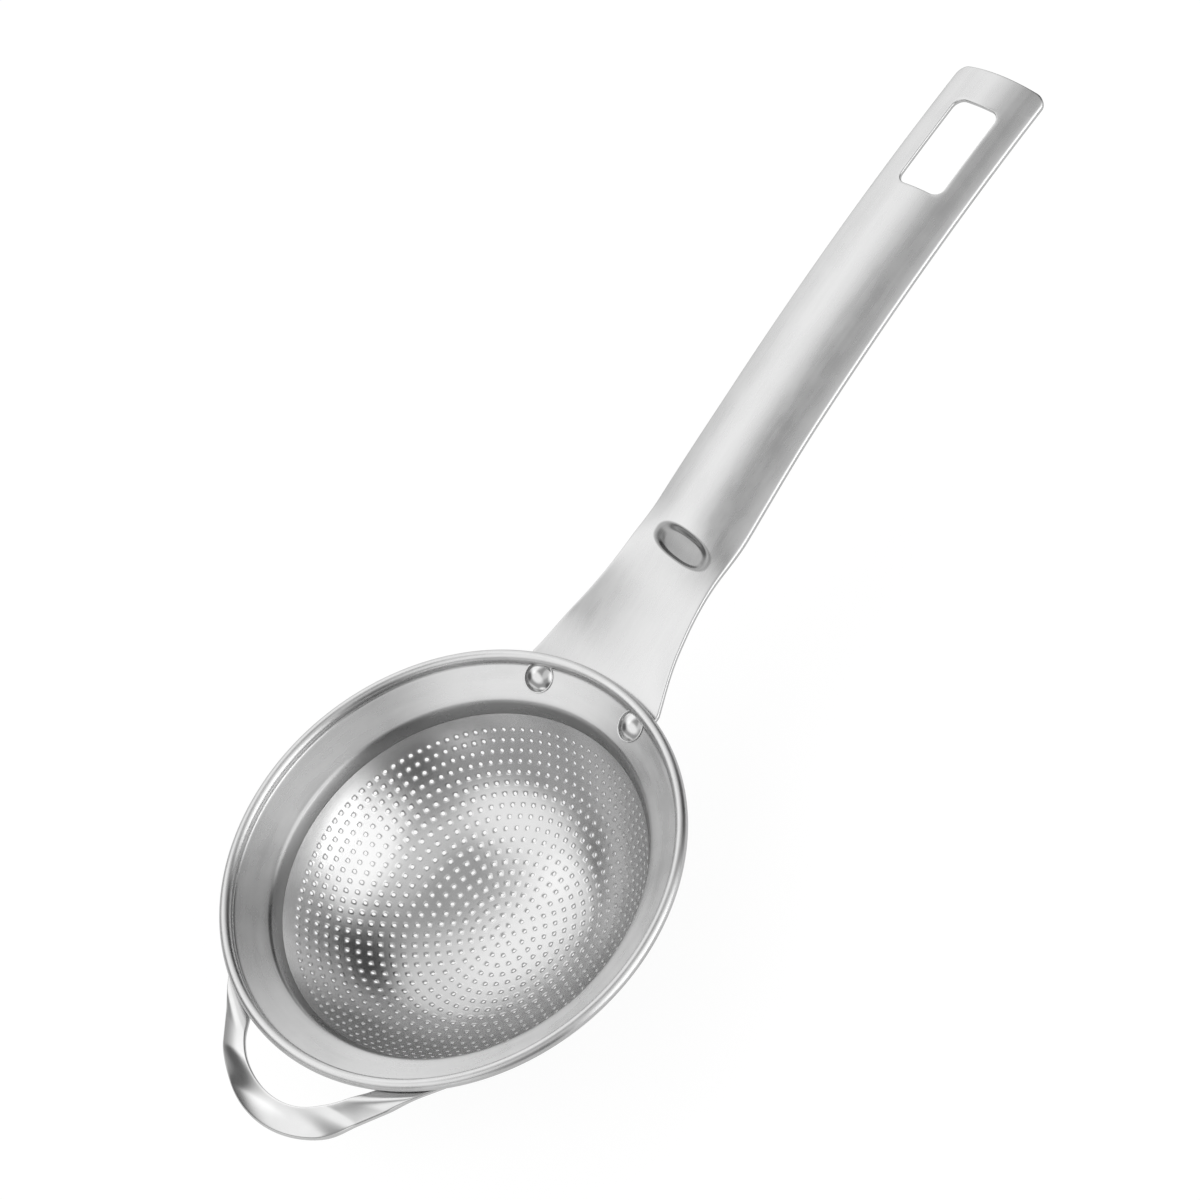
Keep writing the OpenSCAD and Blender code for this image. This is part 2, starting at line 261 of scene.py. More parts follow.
def steel(name, look):
    material = bpy.data.materials.new(name)
    material.use_nodes = True
    tree = material.node_tree
    shader = tree.nodes["Principled BSDF"]
    shader.inputs["Metallic"].default_value = 1
    shader.inputs["Anisotropic"].default_value = look.get("anisotropic", 0)
    place = addNode(tree, "ShaderNodeTexCoord").outputs["Object"]
    soft = addNode(tree, "ShaderNodeGroup", {"node_tree": grain}, {
        "Vector": place, "Scale": look["grainScale"]})
    height = addMath(tree, "MULTIPLY", soft.outputs["Grain"], look["grainDepth"])
    cloud = soft.outputs["Cloud"]
    if "brush" in look:
        lines, spread = look["brush"](tree, place)
        brush = addNode(tree, "ShaderNodeGroup", {"node_tree": brushing}, {
            "Vector": lines, "Scale": look["brushScale"]})
        height = addMath(tree, "ADD", height, addMath(
            tree, "MULTIPLY", brush.outputs["Lines"], look["brushDepth"]))
        cloud = addMath(tree, "MULTIPLY", addMath(tree, "ADD", cloud, brush.outputs["Streaks"]), 0.5)
        tree.links.new(spread, shader.inputs["Tangent"])
    bump = addNode(tree, "ShaderNodeBump", {}, {
        "Height": height, "Strength": 1.0, "Distance": effects["bump"] * mm})
    tree.links.new(bump.outputs[0], shader.inputs["Normal"])
    cloudFrom, cloudTo = effects["cloudRange"]
    cloud = addNode(tree, "ShaderNodeMapRange", {}, {"Value": cloud, 1: cloudFrom, 2: cloudTo}).outputs[0]
    rough = addNode(tree, "ShaderNodeMapRange", {}, {
        "Value": cloud, 3: look["roughness"][0], 4: look["roughness"][1]})
    tree.links.new(rough.outputs[0], shader.inputs["Roughness"])
    tone = addNode(tree, "ShaderNodeMix", {"data_type": "RGBA"}, {
        "Factor": cloud, "A": grey(look["tone"][0]), "B": grey(look["tone"][1])})
    # Painted shade: each shade mask darkens the base colour to its grey level in shadeTone
    if "shade" in look:
        for factor, level in zip(look["shade"](tree, place), look["shadeTone"]):
            tone = addNode(tree, "ShaderNodeMix", {"data_type": "RGBA"}, {
                "Factor": factor, "A": tone.outputs["Result"], "B": grey(level)})
    tree.links.new(tone.outputs["Result"], shader.inputs["Base Color"])
    return material


looks = {
    "collarSteel": {
        "tone": (0.57, 0.65), "roughness": (0.24, 0.32), "anisotropic": 0.7,
        "grainScale": 3000.0, "grainDepth": 0.1,
        "brush": aroundAxis, "brushScale": 5000.0, "brushDepth": 0.3,
        "shade": skirtShade, "shadeTone": (0.3,)},
    "bowlSteel": {"tone": (0.6, 0.64), "roughness": (0.21, 0.26), "grainScale": 3000.0, "grainDepth": 0.15},
    "handleSteel": {
        "tone": (0.58, 0.635), "roughness": (0.25, 0.31), "anisotropic": 0.4,
        "grainScale": 3000.0, "grainDepth": 0.1,
        "brush": alongHandle, "brushScale": 3500.0, "brushDepth": 0.3,
        "shade": crimpPaintedShade, "shadeTone": (0.33, 0.29)},
    "rivetSteel": {"tone": (0.6, 0.64), "roughness": (0.12, 0.17), "grainScale": 3000.0, "grainDepth": 0.1},
    "loopSteel": {"tone": (0.63, 0.68), "roughness": (0.16, 0.2), "grainScale": 3000.0, "grainDepth": 0.1},
}
finishes = {name: steel(name, look) for name, look in looks.items()}
print("materials made")

# Collar ring: bead, sloping face, bend and skirt, as one closed profile

collar = {
    "rim": 90, "bead": 2.3, "sheet": 0.5, "slope": 26, "face": 7.1,
    "skirtSlope": 62, "skirt": 3, "lip": 1.6, "edge": 0.24, "fillet": 0.55,
    "leave": 230, "slit": (285, 305), "root": 263.3,  # angles round the bead
    "turns": 540, "bendSteps": 14, "faceSteps": 8, "beadSteps": 56, "cornerSteps": 8,
}


# Directions in the profile: down the sheet towards the axis, and out of its underside
def along(slope):
    return np.array([-cosd(slope), -sind(slope)])


def outward(slope):
    return np.array([sind(slope), -cosd(slope)])


beadRadius = collar["bead"] / 2
beadCentre = np.array([collar["rim"] / 2 - beadRadius, 0])
faceTop = beadCentre + beadRadius * np.array([cosd(collar["leave"]), sind(collar["leave"])])
lipCorner = faceTop + along(collar["slope"]) * collar["face"]
lipCut = collar["lip"] * tand((collar["skirtSlope"] - collar["slope"]) / 2)
lipStart = lipCorner - along(collar["slope"]) * lipCut
lipCentre = lipStart + outward(collar["slope"]) * collar["lip"]
skirtEnd = lipCorner + along(collar["skirtSlope"]) * collar["skirt"]


def collarProfile():
    sheet, edge, steps = collar["sheet"], collar["edge"], collar["cornerSteps"]
    down, out = along(collar["skirtSlope"]), outward(collar["skirtSlope"])
    bendTurn = (90 + collar["skirtSlope"], 90 + collar["slope"])
    tip = [skirtEnd + out * (sheet / 2 + (sheet / 2 - edge + edge * sind(a)) * side)
           - down * edge * (1 - cosd(a))
           for side, turns in ((1, (90, 60, 30, 0)), (-1, (0, 30, 60, 90))) for a in turns]
    top = arc(lipCentre, collar["lip"], *bendTurn, collar["bendSteps"])
    faceRun = [mix(lipStart, faceTop, u) for u in np.linspace(0, 1, collar["faceSteps"])[1:]]
    up, fillet = -outward(collar["slope"]), collar["fillet"]
    rise = fillet - (beadCentre - faceTop) @ up
    run = (beadCentre - faceTop) @ -along(collar["slope"]) - np.sqrt((beadRadius + fillet) ** 2 - rise ** 2)
    filletCentre = faceTop - along(collar["slope"]) * run + up * fillet
    leave = np.degrees(np.arctan2(*(filletCentre - beadCentre)[::-1])) % 360
    corner = arc(filletCentre, fillet, collar["slope"] - 90, leave - 180, steps)
    slitFrom, slitTo = collar["slit"]
    roll = arc(beadCentre, beadRadius, leave, slitTo - 360, collar["beadSteps"])[1:]
    slit = [beadCentre + (beadRadius - sheet) * np.array([cosd(a), sind(a)]) for a in (slitTo, slitFrom)]
    under = arc(beadCentre, beadRadius, slitFrom, collar["root"], steps)
    lower = [p + outward(collar["slope"]) * sheet for p in faceRun[::-1][1:]]
    bend = arc(lipCentre, collar["lip"] - sheet, *bendTurn[::-1], collar["bendSteps"])
    return np.array([*tip, *top, *faceRun[:-1], *corner, *roll, *slit, *under, *lower, *bend])


makePiece("collarRing", *revolve(collarProfile(), collar["turns"]), "collar_ring", "collar_steel",
          finishes["collarSteel"])
print("collar ring made")

# Perforated bowl: rings of cells with a hole in each, stitched together along the sheet

bowl = {
    "depth": 27, "sheet": 0.4, "wallRadius": 44, "wallEnd": 48, "knuckleRadius": 28, "knuckleEnd": 18.6,
    "lap": 2.2, "hole": 0.76, "pitch": 2.1, "margin": 3.3, "turn": 9.9, "gap": 0.05,
    "sink": 0.02, "soft": 0.04,  # rounding of the holes' edges
    "cellShare": 0.45, "sidePoints": 6, "wallRows": 12, "curveSteps": 4000,
}


# The curve from the middle to the mouth: a shallow bottom, a knuckle, a wall and a straight end
def bowlCurve():
    b = bowl
    mouth = skirtEnd + outward(collar["skirtSlope"]) * (collar["sheet"] + b["gap"])
    top = collar["skirtSlope"]
    wall = b["wallRadius"] * np.array([sind(top) - sind(b["wallEnd"]), cosd(b["wallEnd"]) - cosd(top)])
    knuckle = b["knuckleRadius"] * np.array([
        sind(b["wallEnd"]) - sind(b["knuckleEnd"]), cosd(b["knuckleEnd"]) - cosd(b["wallEnd"])])
    dish = tand(b["knuckleEnd"] / 2)
    fall = b["depth"] + mouth[1] - wall[1] - knuckle[1]
    plain = (fall - (mouth[0] - wall[0] - knuckle[0]) * dish) / (sind(top) - cosd(top) * dish)
    bottom = (mouth[0] - plain * cosd(top) - wall[0] - knuckle[0]) / sind(b["knuckleEnd"])
    lengths = np.cumsum([
        math.radians(b["knuckleEnd"]) * bottom,
        math.radians(b["wallEnd"] - b["knuckleEnd"]) * b["knuckleRadius"],
        math.radians(top - b["wallEnd"]) * b["wallRadius"], plain])
    s = np.linspace(0, lengths[-1] + b["lap"], b["curveSteps"])
    slope = np.interp(s, [0, *lengths[:3]], [0, b["knuckleEnd"], b["wallEnd"], top])
    step = s[1] - s[0]
    middle = (slope[1:] + slope[:-1]) / 2
    r = np.concatenate([[0], np.cumsum(cosd(middle)) * step])
    z = np.concatenate([[0], np.cumsum(sind(middle)) * step]) - b["depth"]
    return lengths[-1], s, slope, r, z


mouthAt, curveS, curveSlope, curveR, curveZ = bowlCurve()
ringCount = int((mouthAt - bowl["margin"]) // bowl["pitch"])


def bowlPoint(s, turn, depth):
    slope, r, z = (np.interp(s, curveS, c) for c in (curveSlope, curveR, curveZ))
    r, z = r + depth * sind(slope), z - depth * cosd(slope)
    return np.stack([r * cosd(turn), r * sind(turn), z], -1)


# A square and a circle with matching points, from corner to corner
def cellOutlines():
    n = bowl["sidePoints"]
    side = np.arange(n) / n * 2 - 1
    one = np.ones(n)
    square = np.concatenate([
        np.stack([side, -one], -1), np.stack([one, side], -1),
        np.stack([-side, one], -1), np.stack([-one, -side], -1)])
    turn = -135 + np.arange(4 * n) * 90 / n
    return square, np.stack([cosd(turn), sind(turn)], -1)


def joinWall(faces, inner, outer, count):
    for j in range(count):
        k = (j + 1) % count
        faces.append((inner + k, inner + j, outer + j, outer + k))


def bowlMesh():
    b = bowl
    square, circle = cellOutlines()
    n, count = b["sidePoints"], len(square)
    points, faces = [], []
    total = 0

    def add(block):
        nonlocal total
        points.append(block.reshape(-1, 3))
        total += len(points[-1])
        return total - len(points[-1])

    def loft(first, rows, cols, flip):
        for i in range(rows - 1):
            for j in range(cols):
                a, c = first + i * cols + j, first + i * cols + (j + 1) % cols
                quad = (a, c, c + cols, a + cols)
                faces.append(quad[::-1] if flip else quad)

    def stitch(one, oneCount, two, twoCount, flip):
        i = j = 0
        while i < oneCount or j < twoCount:
            step = j >= twoCount or (i < oneCount and (i + 1) / oneCount <= (j + 1) / twoCount)
            near, far = one + i % oneCount, two + j % twoCount
            tri = (near, far, one + (i + 1) % oneCount if step else two + (j + 1) % twoCount)
            faces.append(tri[::-1] if flip else tri)
            i, j = (i + 1, j) if step else (i, j + 1)

    radii = (b["hole"] / 2, b["hole"] / 2 + b["soft"])
    half = b["cellShare"] * b["pitch"]
    for depth, flip in ((0, False), (b["sheet"], True)):
        inward = 1 if depth == 0 else -1
        previous = None
        for ring in range(ringCount + 1):
            s0 = ring * b["pitch"]
            if ring == 0:
                turn = b["turn"] + np.arange(count) * 360 / count
                layers = [(radii[0], b["sink"]), (radii[1], 0), (half, 0)]
                first = add(np.array([bowlPoint(np.full(count, s), turn, depth + inward * sink)
                                      for s, sink in layers]))
                loft(first, 3, count, not flip)
                previous = (first + 2 * count, count)
                if depth:
                    joinWall(faces, first, holeStarts[0], count)
                else:
                    holeStarts = [first]
                continue
            r0 = np.interp(s0, curveS, curveR)
            # Each ring has six holes more than the one inside it
            turns = b["turn"] + np.arange(6 * ring) * 60 / ring
            spread = np.degrees(circle[:, 0] / r0)
            edge = square[:, 0] * 30 / ring
            rows = []
            stages = ((radii[0], b["sink"], 0), (radii[1], 0, 0), (radii[1], 0, 0.5), (0, 0, 1))
            for radius, sink, u in stages:
                s = s0 + mix(circle[:, 1] * radius, square[:, 1] * half, u)
                rows.append((s, mix(spread * radius, edge, u), sink))
            for index, middle in enumerate(turns):
                first = add(np.array([
                    bowlPoint(s, middle + t, depth + inward * sink) for s, t, sink in rows]))
                loft(first, 4, count, flip)
                if depth:
                    joinWall(faces, holeStarts[1 + 3 * ring * (ring - 1) + index], first, count)
                else:
                    holeStarts.append(first)
            m = 6 * ring * n
            around = b["turn"] - 30 / ring + np.arange(m) * 360 / m
            low = add(bowlPoint(np.full(m, s0 - half), around, depth))
            high = add(bowlPoint(np.full(m, s0 + half), around, depth))
            stitch(*previous, low, m, flip)
            previous = (high, m)
        start, m = previous
        stops = np.linspace((ringCount + b["cellShare"]) * b["pitch"], mouthAt + b["lap"], b["wallRows"])
        around = b["turn"] - 30 / ringCount + np.arange(m) * 360 / m
        first = add(np.array([bowlPoint(np.full(m, s), around, depth) for s in stops]))
        loft(first, len(stops), m, not flip)
        ends = [first + (len(stops) - 1) * m] if depth == 0 else ends + [first + (len(stops) - 1) * m]
    joinWall(faces, ends[0], ends[1], m)
    return np.concatenate(points), faces


makePiece("perforatedBowl", *bowlMesh(), "perforated_bowl", "bowl_steel", finishes["bowlSteel"])
print("perforated bowl made")

# Handle: one sheet from the tab under the collar to the tip, with the crimp and the hanging slot

handle = {
    "reach": 180.4, "grip": 20.6, "waist": 21.5, "neck": 31.2, "neckEnd": 70, "neckPower": 2.1, "sheet": 1,
    "tab": 31, "tabIn": 37.8, "tabBlend": 2, "taperFrom": 3.5, "taperRun": 28, "tip": 2.2, "edge": 0.36,
    "rise": 14.2, "bow": 526, "arch": 25, "archFrom": 14, "archRun": 35, "arcRun": 17,
    "hollow": 0.0056, "hollowFrom": (1, 10), "hollowOut": (24, 34), "drop": 0.75, "dropRun": 19,  # the neck
    "dent": 0.22, "dentLength": 4, "dentWidth": 9,
    "slotLength": 20.2, "slotWidth": 10.1, "slotRadius": 2, "slotEdge": 7.6, "slotMargin": 3,
    "columns": 64, "slotSide": 60, "slotLayers": 9, "cornerSteps": 12, "rowStep": 0.5, "crimpRows": 90,
    "gripRows": 80, "endRows": 6,
}
rimRadius = collar["rim"] / 2
slotMiddle = handle["reach"] - handle["slotEdge"] - handle["slotLength"] / 2


# Height of the handle's and the loop's top where they lie under the collar's face
def underFace(r):
    return faceTop[1] + (r - faceTop[0]) * tand(collar["slope"]) - (
        collar["sheet"] + bowl["gap"]) / cosd(collar["slope"])


# Height of the handle's crown outside the rim
def bowHeight(q):
    d = q - faceTop[0]
    return underFace(faceTop[0]) + d * tand(handle["rise"]) - d * d / (2 * handle["bow"])


def handleWide(q):
    h = handle
    start = rimRadius + 1
    past = np.maximum(q, start)
    taper = crimp["at"] + h["taperFrom"]
    grip = mix(h["waist"], h["grip"], ease(taper, taper + h["taperRun"], past))
    flare = (np.maximum(0, h["neckEnd"] - past) / (h["neckEnd"] - start)) ** h["neckPower"]
    body = (grip + (h["neck"] - h["waist"]) * flare) / 2
    return mix(min(h["tab"], h["neck"]) / 2, body, ease(start - h["tabBlend"], start, q))


# Half the width with the rounded corners of the tab and the tip
def handleHalf(q):
    h = handle

    def cut(d):
        d = np.clip(d, 0, h["tip"])
        return h["tip"] - np.sqrt(h["tip"] ** 2 - (h["tip"] - d) ** 2)

    return handleWide(q) - cut(q - h["tabIn"]) - cut(h["reach"] - q)


# Distance to the nearest border: the sides, the ends and the slot
def edgeGap(q, t):
    h = handle

    def corner(u, v, r):
        return np.where((u < r) & (v < r), r - np.hypot(r - u, r - v), np.minimum(u, v))

    side = handleWide(q) - np.abs(t)
    outside = np.minimum(corner(h["reach"] - q, side, h["tip"]), corner(q - h["tabIn"], side, h["tip"]))
    r = h["slotRadius"]
    a = np.abs(q - slotMiddle) - h["slotLength"] / 2 + r
    b = np.abs(t) - h["slotWidth"] / 2 + r
    slot = np.hypot(np.maximum(a, 0), np.maximum(b, 0)) + np.minimum(np.maximum(a, b), 0) - r
    return np.minimum(outside, slot)


# The top of the sheet at q along the handle and t across it, and how much it leans
def handleSurface(q, t):
    h = handle
    bend = 1 - ease(rimRadius, rimRadius + h["arcRun"], q)
    x = q - bend * (q - np.sqrt(q * q - t * t))
    crown = np.where(q < faceTop[0], underFace(q), bowHeight(q)) - h["dent"] * np.exp(
        -((q - crimp["at"]) / h["dentLength"]) ** 2 - (t / h["dentWidth"]) ** 2)
    arch = ease(rimRadius + h["archFrom"], rimRadius + h["archRun"], q)
    hollowIn, hollowOut = (ease(*(rimRadius + d for d in h[k]), q) for k in ("hollowFrom", "hollowOut"))
    crown = crown - h["drop"] * (1 - arch) * ease(rimRadius, rimRadius + h["dropRun"], q)
    arched = crown - arch * (h["arch"] - np.sqrt(h["arch"] ** 2 - t * t)) + (
        h["hollow"] * hollowIn * (1 - hollowOut) * t * t)
    power = crimp["power"]
    reach = (np.abs((q - crimp["skew"] * t - crimp["at"]) / crimp["half"]) ** power
             + np.abs((t - crimp["side"]) / crimp["wide"]) ** power) ** (1 / power)
    floor = np.minimum(arched - crimp["step"], crown - crimp["depth"]) - crimp["dish"] * (
        1 - np.minimum(reach, 1) ** 2)
    z = mix(floor, arched, ease(crimp["wall"], 1, reach))
    rise = np.where(
        q < faceTop[0], tand(collar["slope"]), tand(h["rise"]) - (q - faceTop[0]) / h["bow"])
    lean = np.sqrt(1 + rise ** 2 + (arch * t / np.sqrt(h["arch"] ** 2 - t * t)) ** 2)
    return np.stack([x, t, z], -1), lean


# The slot's outline, starting at the middle of a corner
def slotSides(across):
    h = handle
    lx, ly, r = h["slotLength"] / 2, h["slotWidth"] / 2, h["slotRadius"]
    corners = [
        ((-lx + r, -ly + r), 180), ((lx - r, -ly + r), 270), ((lx - r, ly - r), 0), ((-lx + r, ly - r), 90)]
    sides = []
    for number in range(4):
        (c1, a1), (c2, a2) = corners[number], corners[(number + 1) % 4]
        path = np.concatenate([
            arc(c1, r, a1 + 45, a1 + 90, h["cornerSteps"]), arc(c2, r, a2, a2 + 45, h["cornerSteps"])])
        run = np.concatenate([[0], np.cumsum(np.linalg.norm(np.diff(path, axis=0), axis=1))])
        count = across if number % 2 else h["slotSide"]
        at = np.linspace(0, run[-1], count + 1)[:-1]
        x, y = (np.interp(at, run, path[:, i]) for i in (0, 1))
        sides.append(np.stack([slotMiddle + x, y], -1))
    return np.concatenate(sides)


# Points across the handle, closer together at the rounded edges
def acrossAt(q):
    h = handle
    rims = rimSteps(h["edge"])
    half = handleHalf(q)[:, None]
    middle = np.linspace(-1, 1, h["columns"] + 1) * (half - h["edge"])
    return np.concatenate([rims - half, middle, half - rims[::-1]], 1)


def handleMesh():
    h = handle
    rims = rimSteps(h["edge"])
    slotFrom, slotTo = (slotMiddle + side * (h["slotLength"] / 2 + h["slotMargin"]) for side in (-1, 1))
    corner = h["tip"] * (1 - np.cos(np.linspace(0, math.pi / 2, h["cornerSteps"])))
    crimpFrom, crimpTo = (crimp["at"] + side * (crimp["half"] + crimp["margin"]) for side in (-1, 1))
    runs = [
        np.concatenate([
            h["tabIn"] + corner,
            np.arange(h["tabIn"] + h["tip"] + h["rowStep"], crimpFrom, h["rowStep"]),
            np.linspace(crimpFrom, crimpTo, h["crimpRows"]),
            np.linspace(crimpTo, slotFrom, h["gripRows"])[1:]]),
        np.concatenate([
            np.linspace(slotTo, h["reach"] - h["tip"], h["endRows"])[:-1],
            h["reach"] - corner[::-1]]),
    ]
    plans, faces = [], []
    total = 0
    for run in runs:
        t = acrossAt(run)
        plans.append(np.stack([np.repeat(run[:, None], t.shape[1], 1), t], -1).reshape(-1, 2))
        faces.extend([tuple(total + v for v in face) for face in gridFaces(*t.shape)])
        total += len(plans[-1])
    ends = acrossAt(np.array([slotFrom, slotTo]))
    alongRun = np.linspace(slotFrom, slotTo, h["slotSide"] + 1)
    outer = np.concatenate([
        np.stack([alongRun, -handleHalf(alongRun)], -1)[:-1],
        np.stack([np.full(len(ends[1]), slotTo), ends[1]], -1)[:-1],
        np.stack([alongRun, handleHalf(alongRun)], -1)[::-1][:-1],
        np.stack([np.full(len(ends[0]), slotFrom), ends[0]], -1)[::-1][:-1]])
    inner = slotSides(len(ends[0]) - 1)
    way = outer - inner
    length = np.linalg.norm(way, axis=1, keepdims=True)
    layers = [inner + way / length * d for d in (*rims, h["edge"])]
    layers += [mix(layers[-1], outer - way / length * h["edge"], u)
               for u in np.linspace(0, 1, h["slotLayers"])[1:]]
    layers += [outer - way / length * d for d in rims[::-1]]
    plans.append(np.concatenate(layers))
    count = len(inner)
    for i in range(len(layers) - 1):
        for j in range(count):
            a, c = total + i * count + j, total + i * count + (j + 1) % count
            faces.append((a, a + count, c + count, c))
    plan = np.concatenate(plans)
    _, first, back = np.unique(np.round(plan, 5), axis=0, return_index=True, return_inverse=True)
    faces = [tuple(back.ravel()[v] for v in face) for face in faces]
    q, t = plan[first].T
    surface, lean = handleSurface(q, t)
    return closeSheet(surface, h["sheet"] * lean, edgeGap(q, t), h["edge"], faces)


makePiece("handleStrip", *handleMesh(), "handle", "handle_steel", finishes["handleSteel"])
print("handle made")

# Rivets: a domed head on the collar's face, a shank and a closed tail

rivet = {
    "at": 41.1, "turn": 16.2, "head": 6, "rise": 1.25, "edge": 0.12,
    "shank": 2.6, "tail": 4.4, "tailRise": 0.9, "tailEdge": 0.36,
    "turns": 96, "domeSteps": 24, "edgeSteps": 6, "rimFrom": 60,
}


def rivetProfile():
    v, gap = rivet, bowl["gap"]
    stack = collar["sheet"] + handle["sheet"] + 2 * gap
    radius = (v["head"] ** 2 / 4 + v["rise"] ** 2) / (2 * v["rise"])
    spread = math.degrees(math.asin((v["head"] / 2 - v["edge"]) / radius))
    dome = arc((0, gap + v["rise"] - radius), radius, 90, 90 - spread, v["domeSteps"])
    rim = arc((v["head"] / 2 - v["edge"], gap + v["edge"]), v["edge"], v["rimFrom"], -90, v["edgeSteps"])
    shank = [(v["shank"] / 2, gap), (v["shank"] / 2, -stack - gap)]
    tailCentre = (v["tail"] / 2 - v["tailEdge"], -stack - gap - v["tailRise"] + v["tailEdge"])
    tail = arc(tailCentre, v["tailEdge"], 0, -90, v["edgeSteps"])
    low = [(v["tail"] / 2, -stack - gap), *tail, (0, -stack - gap - v["tailRise"])]
    return np.array([*dome, *rim, *shank, *low])


rivetHeight = faceTop[1] + (rivet["at"] - faceTop[0]) * tand(collar["slope"])
for name, side in (("rivetLeft", 1), ("rivetRight", -1)):
    points, faces = revolve(rivetProfile(), rivet["turns"])
    place = (Matrix.Rotation(math.radians(side * rivet["turn"]), 4, "Z")
             @ Matrix.Translation((rivet["at"], 0, rivetHeight))
             @ Matrix.Rotation(math.radians(-collar["slope"]), 4, "Y"))
    points = points @ np.array(place.to_3x3()).T + np.array(place.translation)
    makePiece(name, points, faces, "rivet_left" if side > 0 else "rivet_right", "rivet_steel",
              finishes["rivetSteel"])
print("rivets made")

# Helper loop: a flat strip bent round, with its two legs ending under the collar

loop = {
    "reach": 57.2, "width": 5, "sheet": 0.9, "radius": 21.2, "turn": 54, "leg": 17, "fall": 1.5,
    "droop": 1.6, "crown": 0.3, "droopStart": 8.7, "droopRun": 5.5, "liftFrom": 0.2, "liftTo": 3.3,
    "rows": 281, "columns": 19, "edge": 0.3, "lean": 0.06,
}


# The top of the strip at s along its middle, from f = -1 at the inner edge to 1 at the outer edge
def loopPoint(s, f):
    v = loop
    middle = v["radius"] - v["width"] / 2
    bend = middle * math.radians(v["turn"])
    turn = np.degrees(np.minimum(np.abs(s), bend) / middle)
    leg = np.maximum(0, np.abs(s) - bend)
    r = middle + f * v["width"] / 2
    x = v["reach"] - v["radius"] + r * cosd(turn) - leg * sind(turn)
    y = np.where(s < 0, -1, 1) * (r * sind(turn) + leg * cosd(turn))
    reach = np.hypot(x, y)
    held = np.where(reach < faceTop[0], underFace(reach), bowHeight(reach))
    droopFrom = v["reach"] - v["droopStart"]
    free = -v["fall"] * (f + 1) / 2 + v["crown"] * (1 - f * f) - v["droop"] * ease(
        droopFrom, droopFrom + v["droopRun"], x)
    z = mix(held, free, ease(rimRadius + v["liftFrom"], rimRadius + v["liftTo"], reach))
    return np.stack([-x, -y, z], -1)


def loopMesh():
    v = loop
    end = (v["radius"] - v["width"] / 2) * math.radians(v["turn"]) + v["leg"]
    rims = rimSteps(v["edge"]) * 2 / v["width"]
    flat = 1 - v["edge"] * 2 / v["width"]
    across = np.concatenate([rims - 1, np.linspace(-flat, flat, v["columns"]), 1 - rims[::-1]])
    s, f = (c.ravel() for c in np.meshgrid(np.linspace(-end, end, v["rows"]), across, indexing="ij"))
    faces = [face[::-1] for face in gridFaces(v["rows"], len(across))]
    depth = np.full(len(s), v["sheet"] + v["lean"])
    return closeSheet(loopPoint(s, f), depth, (1 - np.abs(f)) * v["width"] / 2, v["edge"], faces)


makePiece("helperLoop", *loopMesh(), "helper_loop", "loop_steel", finishes["loopSteel"])
print("helper loop made")

# Stage: a pale floor, soft boxes and the camera

stage = {
    "floor": -27.6, "middle": 50, "size": 2.4, "tint": 0.14,  # the size is in metres
    "shine": 0.66, "glare": 0.24,  # the floor glows in reflections and, a little more, for the camera
}
bpy.ops.mesh.primitive_plane_add(
    size=stage["size"], location=(stage["middle"] * mm, 0, stage["floor"] * mm))
floor = bpy.context.object
floor.name = "floor"
paper = bpy.data.materials.new("paper")
paper.use_nodes = True
paperShader = paper.node_tree.nodes["Principled BSDF"]
paperShader.inputs["Base Color"].default_value = grey(stage["tint"])
paperShader.inputs["Roughness"].default_value = 1
paperShader.inputs["Specular IOR Level"].default_value = 0
paperShader.inputs["Emission Color"].default_value = grey(1)
path = addNode(paper.node_tree, "ShaderNodeLightPath").outputs
seen = addMath(paper.node_tree, "MAXIMUM", path["Is Camera Ray"], addMath(
    paper.node_tree, "MAXIMUM", path["Is Glossy Ray"], path["Is Transmission Ray"]))
bright = addMath(paper.node_tree, "MULTIPLY_ADD", path["Is Camera Ray"], stage["glare"],
                 addMath(paper.node_tree, "MULTIPLY", seen, stage["shine"]))
paper.node_tree.links.new(bright, paperShader.inputs["Emission Strength"])
floor.data.materials.append(paper)

# Each soft box: azimuth, elevation, half width and half height in degrees, and strength.
# A flag takes light away.
boxes = {
    "rightWall": (64, 42, 52, 38, 0.64),
    "crownPanel": (84, 46, 34, 22, 0.34),
    "leftWall": (160, 54, 52, 29, 0.85),
    "leftLow": (160, 2, 36, 14, 0.6),
    "nearLeft": (-156, 4, 20, 14, 0.9),
    "nearStrip": (-74, 3, 46, 16, 2.0),
    "nearPanel": (-70, 30, 44, 32, 1.2),
    "nearTop": (-84, 68, 40, 20, 0.42),
    "rightLow": (58, 8, 38, 18, 0.62),
    "leftFlag": (-124, 10, 20, 28, -0.28),
    "rightFlag": (-6, 16, 32, 42, -0.38),
    "sideFlag": (120, 20, 20, 18, -0.3),
}
fill = 0.43
softEdge = 0.5

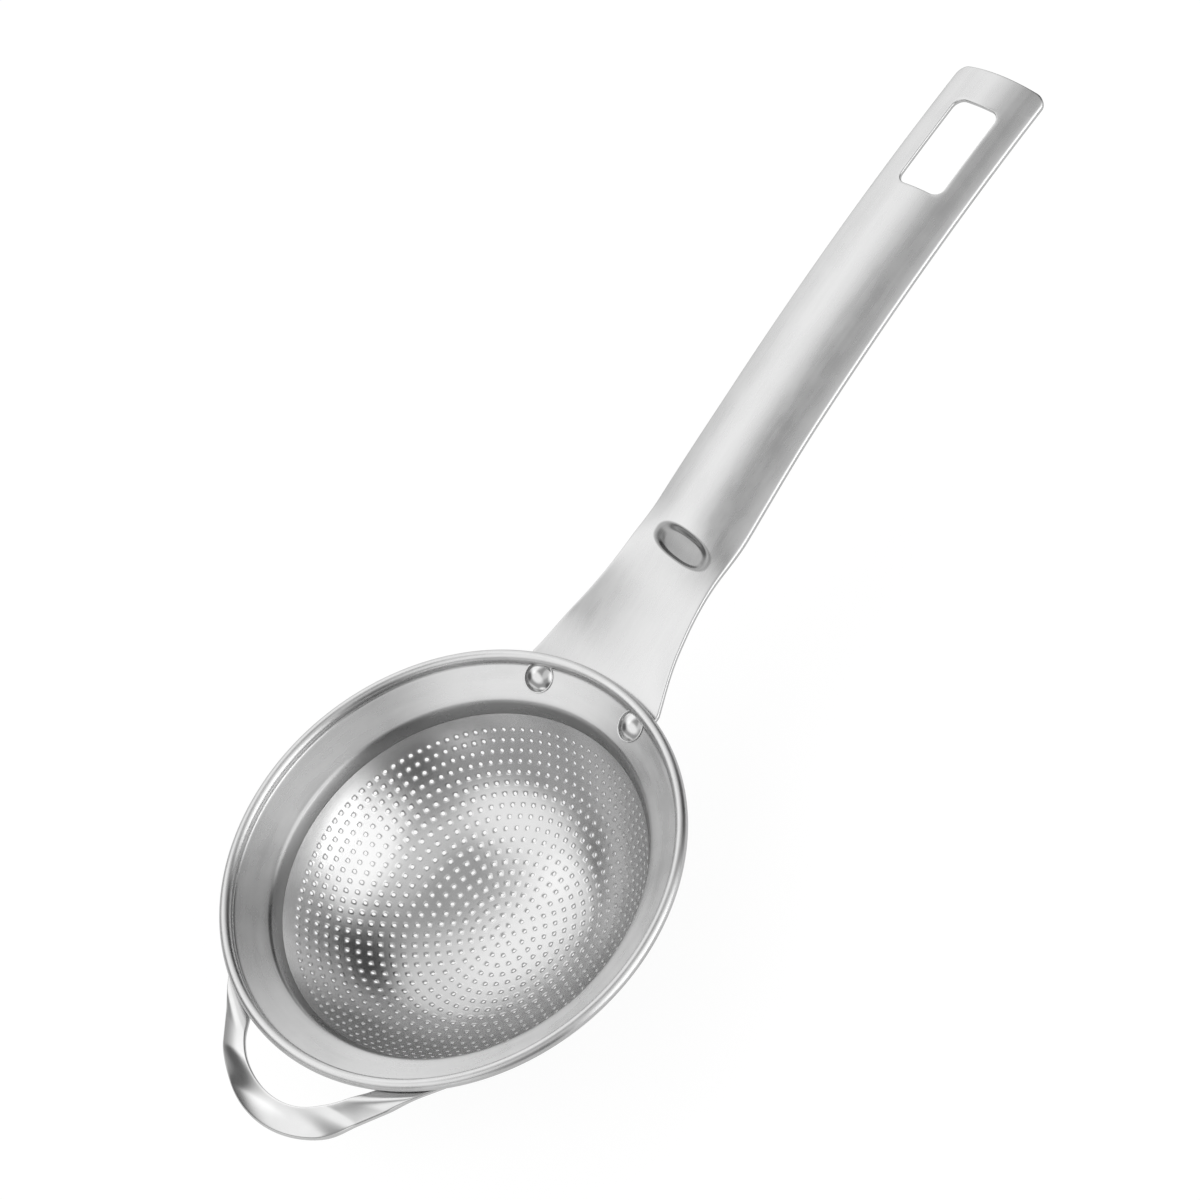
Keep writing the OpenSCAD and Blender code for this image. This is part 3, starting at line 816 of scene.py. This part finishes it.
world = bpy.data.worlds.new("studio")
world.use_nodes = True
bpy.context.scene.world = world
sky = world.node_tree
facing = addNode(sky, "ShaderNodeTexCoord").outputs["Generated"]
total = fill
for name, (turn, height, across, up, strength) in boxes.items():
    middle = Vector((cosd(turn) * cosd(height), sind(turn) * cosd(height), sind(height)))
    place = addNode(sky, "ShaderNodeMapping", {"vector_type": "TEXTURE", "label": name}, {
        "Vector": facing, "Location": middle, "Rotation": middle.to_track_quat("Z", "Y").to_euler(),
        "Scale": (sind(across), sind(up), 1)})
    edge = addNode(sky, "ShaderNodeTexGradient", {"gradient_type": "SPHERICAL"}, {
        "Vector": place.outputs[0]})
    light = softStep(sky, edge.outputs["Fac"], 0.0, softEdge, strength)
    total = addMath(sky, "ADD", total, light)
cameraRay = addNode(sky, "ShaderNodeLightPath").outputs["Is Camera Ray"]
level = addNode(sky, "ShaderNodeMix", {"data_type": "FLOAT"}, {"Factor": cameraRay, "A": total, "B": 1.0})
sky.nodes["Background"].inputs["Color"].default_value = grey(1)
sky.links.new(level.outputs[0], sky.nodes["Background"].inputs["Strength"])

view = {
    "aim": (57.47, 9.87, 0), "distance": 865.6, "azimuth": -24.36, "elevation": 51.43, "roll": -32.66,
    "lens": 141.26, "sensor": 36,
}
cameraData = bpy.data.cameras.new("camera")
cameraData.lens = view["lens"]
cameraData.sensor_width = view["sensor"]
cameraData.clip_start, cameraData.clip_end = 0.05, 20
camera = bpy.data.objects.new("camera", cameraData)
bpy.context.scene.collection.objects.link(camera)
back = Vector((sind(view["azimuth"]) * cosd(view["elevation"]),
               -cosd(view["azimuth"]) * cosd(view["elevation"]), sind(view["elevation"])))
camera.location = (Vector(view["aim"]) + back * view["distance"]) * mm
camera.rotation_mode = "QUATERNION"
camera.rotation_quaternion = (-back).to_track_quat("-Z", "Y") @ Matrix.Rotation(
    math.radians(view["roll"]), 4, "Z").to_quaternion()
bpy.context.scene.camera = camera
bpy.context.scene.view_settings.view_transform = "Standard"
print("stage made")
